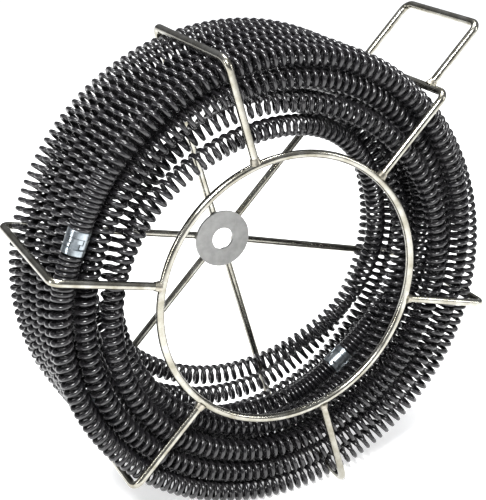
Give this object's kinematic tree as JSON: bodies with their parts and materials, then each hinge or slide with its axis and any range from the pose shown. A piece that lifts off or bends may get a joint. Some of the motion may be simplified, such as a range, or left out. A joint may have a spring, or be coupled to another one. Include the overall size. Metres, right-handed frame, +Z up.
{
  "type": "sectional drain auger",
  "caption": "Flexible coiled-steel drain-cleaning springs, joined end to end by T-slot couplings and coiled inside a round welded wire carrier with a carry handle.",
  "frame": {"origin": "centre of the bore in the hub plate, half way through the plate", "axes": "+Y along the carrier's axis from the open front ring to the back spokes, +Z up as the carrier rests on one rim bar and on the coil, +X to the right as seen from the front"},
  "size_m": [0.4921, 0.1732, 0.491],
  "materials": {
    "carrier_wire": "bright zinc plating with a slight straw tint",
    "hub_plate": "matt grey zinc plate",
    "weld_metal": "plated weld bead",
    "spring_steel": "oil-tempered dark spring steel with a dull gloss",
    "coupling_steel": "turned and zinc plated",
    "pin_steel": "plain machined"
  },
  "bodies": {
    "carrier": {"hub_plate": "hub_plate", "front_ring": "carrier_wire", "strut_1": "carrier_wire", "strut_2": "carrier_wire", "strut_3": "carrier_wire", "strut_4": "carrier_wire", "strut_5": "carrier_wire", "strut_6": "carrier_wire", "carry_handle": "carrier_wire", "hub_welds": "weld_metal", "ring_welds": "weld_metal", "handle_welds": "weld_metal"},
    "springs": {"spring_section_1": "spring_steel", "female_coupling_1": "coupling_steel", "male_coupling_1": "coupling_steel", "pin_spring_1": "pin_steel", "pin_plug_1": "pin_steel", "spring_section_2": "spring_steel", "female_coupling_2": "coupling_steel", "male_coupling_2": "coupling_steel", "pin_spring_2": "pin_steel", "pin_plug_2": "pin_steel", "spring_section_3": "spring_steel", "female_coupling_3": "coupling_steel", "male_coupling_3": "coupling_steel", "pin_spring_3": "pin_steel", "pin_plug_3": "pin_steel", "spring_section_4": "spring_steel", "female_coupling_4": "coupling_steel", "male_coupling_4": "coupling_steel", "pin_spring_4": "pin_steel", "pin_plug_4": "pin_steel", "spring_section_5": "spring_steel", "female_coupling_5": "coupling_steel", "male_coupling_5": "coupling_steel", "pin_spring_5": "pin_steel", "pin_plug_5": "pin_steel"},
    "locking_pin_1": {"locking_pin_1": "pin_steel"},
    "locking_pin_2": {"locking_pin_2": "pin_steel"},
    "locking_pin_3": {"locking_pin_3": "pin_steel"},
    "locking_pin_4": {"locking_pin_4": "pin_steel"},
    "locking_pin_5": {"locking_pin_5": "pin_steel"}
  },
  "joints": [
    {"name": "coil_turns_in_carrier", "type": "hinge", "parent": "carrier", "child": "springs", "pos_m": [0, -0.0762, 0], "axis": [0, 1, 0], "continuous": true},
    {"name": "locking_pin_1_slide", "type": "slide", "parent": "springs", "child": "locking_pin_1", "axis": [-0.9981, 0, 0.061], "range_m": [0, 0.0028], "stiffness_N_per_m": 1500, "springref_m": -0.004, "deforming": ["pin_spring_1"]},
    {"name": "locking_pin_2_slide", "type": "slide", "parent": "springs", "child": "locking_pin_2", "axis": [-0.542, 0.0012, 0.8404], "range_m": [0, 0.0028], "stiffness_N_per_m": 1500, "springref_m": -0.004, "deforming": ["pin_spring_2"]},
    {"name": "locking_pin_3_slide", "type": "slide", "parent": "springs", "child": "locking_pin_3", "axis": [0.3887, 0, 0.9213], "range_m": [0, 0.0028], "stiffness_N_per_m": 1500, "springref_m": -0.004, "deforming": ["pin_spring_3"]},
    {"name": "locking_pin_4_slide", "type": "slide", "parent": "springs", "child": "locking_pin_4", "axis": [-0.8016, 0.0104, -0.5977], "range_m": [0, 0.0028], "stiffness_N_per_m": 1500, "springref_m": -0.004, "deforming": ["pin_spring_4"]},
    {"name": "locking_pin_5_slide", "type": "slide", "parent": "springs", "child": "locking_pin_5", "axis": [0.9885, 0, 0.1513], "range_m": [0, 0.0028], "stiffness_N_per_m": 1500, "springref_m": -0.004, "deforming": ["pin_spring_5"]}
  ]
}
